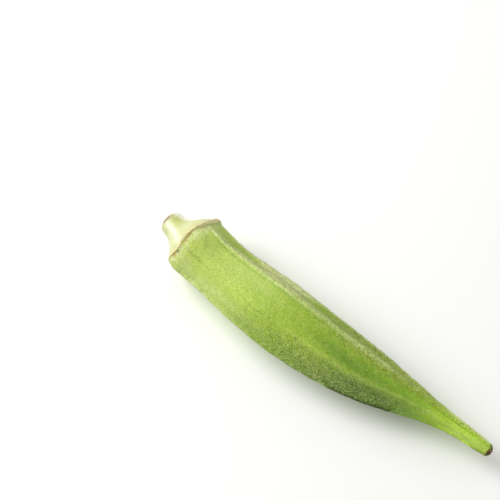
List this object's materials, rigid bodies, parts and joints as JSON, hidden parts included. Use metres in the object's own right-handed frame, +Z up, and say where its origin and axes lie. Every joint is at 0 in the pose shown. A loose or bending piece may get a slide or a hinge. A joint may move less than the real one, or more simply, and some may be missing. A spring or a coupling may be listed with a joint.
{
  "type": "okra pod",
  "caption": "Fresh okra pod, long and gently bowed, ribbed along its length, with its pale cap, stub of stem and pointed beak; lies on its side.",
  "frame": {"origin": "centre of the bounding box, on the surface that the pod lies on", "axes": "+X along the pod from the cut stem to the tip, +Z up"},
  "size_m": [0.1132, 0.0234, 0.0186],
  "materials": {
    "pod_skin": "satin",
    "calyx_scar": "dry, matt",
    "pod_hair": "fine, matt"
  },
  "bodies": {
    "root": {"okra_pod": "pod_skin"}
  },
  "joints": []
}
